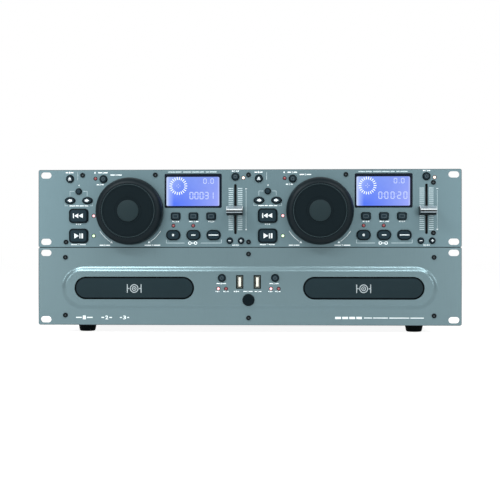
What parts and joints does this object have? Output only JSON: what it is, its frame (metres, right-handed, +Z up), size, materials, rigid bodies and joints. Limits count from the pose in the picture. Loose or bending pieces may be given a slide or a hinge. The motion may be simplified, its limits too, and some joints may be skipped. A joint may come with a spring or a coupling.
{
  "type": "dual disc player",
  "caption": "Rack-mount dual disc player for a DJ: a control unit with jog wheels, displays and pitch faders, standing on a player unit with disc trays that slide out.",
  "frame": {"origin": "middle of the whole object in X and Y, on the surface that the feet stand on", "axes": "+X to the right and -Y towards the user, seen from the front; +Z up"},
  "size_m": [0.4826, 0.291, 0.1866],
  "materials": {
    "panel_paint": "satin metallic grey paint",
    "case_paint": "matt black paint on steel sheet",
    "board": "green solder mask",
    "display_frame": "black gloss frame round a blue liquid crystal",
    "lamp": "tinted clear lens",
    "black_screw": "blackened steel",
    "drive_plastic": "matt black moulding",
    "socket_plastic": "black moulding with plated contacts",
    "foot_rubber": "black rubber",
    "tray_plastic": "matt charcoal moulding",
    "door_plastic": "satin charcoal moulding",
    "gear_plastic": "natural white acetal",
    "wheel_plastic": "satin black rim with a grey cap",
    "fader_silver": "bright silver",
    "turntable_plastic": "matt black with a rubber ring",
    "button_gloss": "black gloss with a white sign"
  },
  "bodies": {
    "cases": {"control_panel": "panel_paint", "control_case": "case_paint", "control_board": "board", "display_modules": "display_frame", "led_lenses": "lamp", "panel_screws": "black_screw", "player_panel": "panel_paint", "player_chassis": "case_paint", "player_cover": "case_paint", "drive_frames": "drive_plastic", "player_boards": "board", "sockets": "socket_plastic", "rubber_feet": "foot_rubber"},
    "left_tray": {"left_disc_tray": "tray_plastic", "left_tray_door": "door_plastic"},
    "left_pinion": {"left_tray_pinion": "gear_plastic"},
    "right_tray": {"right_disc_tray": "tray_plastic", "right_tray_door": "door_plastic"},
    "right_pinion": {"right_tray_pinion": "gear_plastic"},
    "left_jog": {"left_jog_wheel": "wheel_plastic"},
    "right_jog": {"right_jog_wheel": "wheel_plastic"},
    "left_fader": {"left_pitch_fader": "fader_silver"},
    "right_fader": {"right_pitch_fader": "fader_silver"},
    "left_turntable": {"left_spindle": "turntable_plastic"},
    "right_turntable": {"right_spindle": "turntable_plastic"},
    "power_push": {"power_button": "button_gloss"},
    "left_source_push": {"left_source_button": "button_gloss"},
    "right_source_push": {"right_source_button": "button_gloss"},
    "left_eject_push": {"left_eject_button": "button_gloss"},
    "left_jog_mode_push": {"left_jog_mode_button": "button_gloss"},
    "left_folder_push": {"left_folder_button": "button_gloss"},
    "left_track_back_push": {"left_track_back_button": "button_gloss"},
    "left_track_forward_push": {"left_track_forward_button": "button_gloss"},
    "left_cue_push": {"left_cue_button": "button_gloss"},
    "left_play_push": {"left_play_button": "button_gloss"},
    "left_time_push": {"left_time_button": "button_gloss"},
    "left_repeat_push": {"left_repeat_button": "button_gloss"},
    "left_program_push": {"left_program_button": "button_gloss"},
    "left_loop_in_push": {"left_loop_in_button": "button_gloss"},
    "left_loop_out_push": {"left_loop_out_button": "button_gloss"},
    "left_reloop_push": {"left_reloop_button": "button_gloss"},
    "left_pitch_range_push": {"left_pitch_range_button": "button_gloss"},
    "left_bend_down_push": {"left_bend_down_button": "button_gloss"},
    "left_bend_up_push": {"left_bend_up_button": "button_gloss"},
    "right_eject_push": {"right_eject_button": "button_gloss"},
    "right_jog_mode_push": {"right_jog_mode_button": "button_gloss"},
    "right_folder_push": {"right_folder_button": "button_gloss"},
    "right_track_back_push": {"right_track_back_button": "button_gloss"},
    "right_track_forward_push": {"right_track_forward_button": "button_gloss"},
    "right_cue_push": {"right_cue_button": "button_gloss"},
    "right_play_push": {"right_play_button": "button_gloss"},
    "right_time_push": {"right_time_button": "button_gloss"},
    "right_repeat_push": {"right_repeat_button": "button_gloss"},
    "right_program_push": {"right_program_button": "button_gloss"},
    "right_loop_in_push": {"right_loop_in_button": "button_gloss"},
    "right_loop_out_push": {"right_loop_out_button": "button_gloss"},
    "right_reloop_push": {"right_reloop_button": "button_gloss"},
    "right_pitch_range_push": {"right_pitch_range_button": "button_gloss"},
    "right_bend_down_push": {"right_bend_down_button": "button_gloss"},
    "right_bend_up_push": {"right_bend_up_button": "button_gloss"}
  },
  "joints": [
    {"name": "left_tray_slide", "type": "slide", "parent": "cases", "child": "left_tray", "axis": [0, -1, 0], "range_m": [0, 0.138]},
    {"name": "left_pinion_turn", "type": "hinge", "parent": "cases", "child": "left_pinion", "pos_m": [-0.1636, -0.0955, 0.0464], "axis": [0, 0, 1], "range_deg": [0, 703.1]},
    {"name": "right_tray_slide", "type": "slide", "parent": "cases", "child": "right_tray", "axis": [0, -1, 0], "range_m": [0, 0.138]},
    {"name": "right_pinion_turn", "type": "hinge", "parent": "cases", "child": "right_pinion", "pos_m": [0.0976, -0.0955, 0.0464], "axis": [0, 0, 1], "range_deg": [0, 703.1]},
    {"name": "left_jog_turn", "type": "hinge", "parent": "cases", "child": "left_jog", "pos_m": [-0.1355, -0.1215, 0.139], "axis": [0, 1, 0], "continuous": true},
    {"name": "right_jog_turn", "type": "hinge", "parent": "cases", "child": "right_jog", "pos_m": [0.0811, -0.1215, 0.139], "axis": [0, 1, 0], "continuous": true},
    {"name": "left_fader_slide", "type": "slide", "parent": "cases", "child": "left_fader", "axis": [0, 0, 1], "range_m": [-0.0201, 0.0249]},
    {"name": "right_fader_slide", "type": "slide", "parent": "cases", "child": "right_fader", "axis": [0, 0, 1], "range_m": [-0.0201, 0.0249]},
    {"name": "left_spindle_turn", "type": "hinge", "parent": "cases", "child": "left_turntable", "pos_m": [-0.1306, -0.0532, 0.0464], "axis": [0, 0, -1], "continuous": true},
    {"name": "right_spindle_turn", "type": "hinge", "parent": "cases", "child": "right_turntable", "pos_m": [0.1306, -0.0532, 0.0464], "axis": [0, 0, -1], "continuous": true},
    {"name": "power_press", "type": "slide", "parent": "cases", "child": "power_push", "axis": [0, 1, 0], "range_m": [0, 0.0025], "stiffness_N_per_m": 300},
    {"name": "left_source_press", "type": "slide", "parent": "cases", "child": "left_source_push", "axis": [0, 1, 0], "range_m": [0, 0.0008], "stiffness_N_per_m": 300},
    {"name": "right_source_press", "type": "slide", "parent": "cases", "child": "right_source_push", "axis": [0, 1, 0], "range_m": [0, 0.0008], "stiffness_N_per_m": 300},
    {"name": "left_eject_press", "type": "slide", "parent": "cases", "child": "left_eject_push", "axis": [0, 1, 0], "range_m": [0, 0.0008], "stiffness_N_per_m": 300},
    {"name": "left_jog_mode_press", "type": "slide", "parent": "cases", "child": "left_jog_mode_push", "axis": [0, 1, 0], "range_m": [0, 0.0008], "stiffness_N_per_m": 300},
    {"name": "left_folder_press", "type": "slide", "parent": "cases", "child": "left_folder_push", "axis": [0, 1, 0], "range_m": [0, 0.0008], "stiffness_N_per_m": 300},
    {"name": "left_track_back_press", "type": "slide", "parent": "cases", "child": "left_track_back_push", "axis": [0, 1, 0], "range_m": [0, 0.0008], "stiffness_N_per_m": 300},
    {"name": "left_track_forward_press", "type": "slide", "parent": "cases", "child": "left_track_forward_push", "axis": [0, 1, 0], "range_m": [0, 0.0008], "stiffness_N_per_m": 300},
    {"name": "left_cue_press", "type": "slide", "parent": "cases", "child": "left_cue_push", "axis": [0, 1, 0], "range_m": [0, 0.001], "stiffness_N_per_m": 300},
    {"name": "left_play_press", "type": "slide", "parent": "cases", "child": "left_play_push", "axis": [0, 1, 0], "range_m": [0, 0.001], "stiffness_N_per_m": 300},
    {"name": "left_time_press", "type": "slide", "parent": "cases", "child": "left_time_push", "axis": [0, 1, 0], "range_m": [0, 0.0008], "stiffness_N_per_m": 300},
    {"name": "left_repeat_press", "type": "slide", "parent": "cases", "child": "left_repeat_push", "axis": [0, 1, 0], "range_m": [0, 0.0008], "stiffness_N_per_m": 300},
    {"name": "left_program_press", "type": "slide", "parent": "cases", "child": "left_program_push", "axis": [0, 1, 0], "range_m": [0, 0.0008], "stiffness_N_per_m": 300},
    {"name": "left_loop_in_press", "type": "slide", "parent": "cases", "child": "left_loop_in_push", "axis": [0, 1, 0], "range_m": [0, 0.0008], "stiffness_N_per_m": 300},
    {"name": "left_loop_out_press", "type": "slide", "parent": "cases", "child": "left_loop_out_push", "axis": [0, 1, 0], "range_m": [0, 0.0008], "stiffness_N_per_m": 300},
    {"name": "left_reloop_press", "type": "slide", "parent": "cases", "child": "left_reloop_push", "axis": [0, 1, 0], "range_m": [0, 0.0008], "stiffness_N_per_m": 300},
    {"name": "left_pitch_range_press", "type": "slide", "parent": "cases", "child": "left_pitch_range_push", "axis": [0, 1, 0], "range_m": [0, 0.0008], "stiffness_N_per_m": 300},
    {"name": "left_bend_down_press", "type": "slide", "parent": "cases", "child": "left_bend_down_push", "axis": [0, 1, 0], "range_m": [0, 0.0008], "stiffness_N_per_m": 300},
    {"name": "left_bend_up_press", "type": "slide", "parent": "cases", "child": "left_bend_up_push", "axis": [0, 1, 0], "range_m": [0, 0.0008], "stiffness_N_per_m": 300},
    {"name": "right_eject_press", "type": "slide", "parent": "cases", "child": "right_eject_push", "axis": [0, 1, 0], "range_m": [0, 0.0008], "stiffness_N_per_m": 300},
    {"name": "right_jog_mode_press", "type": "slide", "parent": "cases", "child": "right_jog_mode_push", "axis": [0, 1, 0], "range_m": [0, 0.0008], "stiffness_N_per_m": 300},
    {"name": "right_folder_press", "type": "slide", "parent": "cases", "child": "right_folder_push", "axis": [0, 1, 0], "range_m": [0, 0.0008], "stiffness_N_per_m": 300},
    {"name": "right_track_back_press", "type": "slide", "parent": "cases", "child": "right_track_back_push", "axis": [0, 1, 0], "range_m": [0, 0.0008], "stiffness_N_per_m": 300},
    {"name": "right_track_forward_press", "type": "slide", "parent": "cases", "child": "right_track_forward_push", "axis": [0, 1, 0], "range_m": [0, 0.0008], "stiffness_N_per_m": 300},
    {"name": "right_cue_press", "type": "slide", "parent": "cases", "child": "right_cue_push", "axis": [0, 1, 0], "range_m": [0, 0.001], "stiffness_N_per_m": 300},
    {"name": "right_play_press", "type": "slide", "parent": "cases", "child": "right_play_push", "axis": [0, 1, 0], "range_m": [0, 0.001], "stiffness_N_per_m": 300},
    {"name": "right_time_press", "type": "slide", "parent": "cases", "child": "right_time_push", "axis": [0, 1, 0], "range_m": [0, 0.0008], "stiffness_N_per_m": 300},
    {"name": "right_repeat_press", "type": "slide", "parent": "cases", "child": "right_repeat_push", "axis": [0, 1, 0], "range_m": [0, 0.0008], "stiffness_N_per_m": 300},
    {"name": "right_program_press", "type": "slide", "parent": "cases", "child": "right_program_push", "axis": [0, 1, 0], "range_m": [0, 0.0008], "stiffness_N_per_m": 300},
    {"name": "right_loop_in_press", "type": "slide", "parent": "cases", "child": "right_loop_in_push", "axis": [0, 1, 0], "range_m": [0, 0.0008], "stiffness_N_per_m": 300},
    {"name": "right_loop_out_press", "type": "slide", "parent": "cases", "child": "right_loop_out_push", "axis": [0, 1, 0], "range_m": [0, 0.0008], "stiffness_N_per_m": 300},
    {"name": "right_reloop_press", "type": "slide", "parent": "cases", "child": "right_reloop_push", "axis": [0, 1, 0], "range_m": [0, 0.0008], "stiffness_N_per_m": 300},
    {"name": "right_pitch_range_press", "type": "slide", "parent": "cases", "child": "right_pitch_range_push", "axis": [0, 1, 0], "range_m": [0, 0.0008], "stiffness_N_per_m": 300},
    {"name": "right_bend_down_press", "type": "slide", "parent": "cases", "child": "right_bend_down_push", "axis": [0, 1, 0], "range_m": [0, 0.0008], "stiffness_N_per_m": 300},
    {"name": "right_bend_up_press", "type": "slide", "parent": "cases", "child": "right_bend_up_push", "axis": [0, 1, 0], "range_m": [0, 0.0008], "stiffness_N_per_m": 300}
  ],
  "couplings": [
    {"joint": "left_pinion_turn", "follows": "left_tray_slide", "rad_per_m": 88.889},
    {"joint": "right_pinion_turn", "follows": "right_tray_slide", "rad_per_m": 88.889}
  ]
}
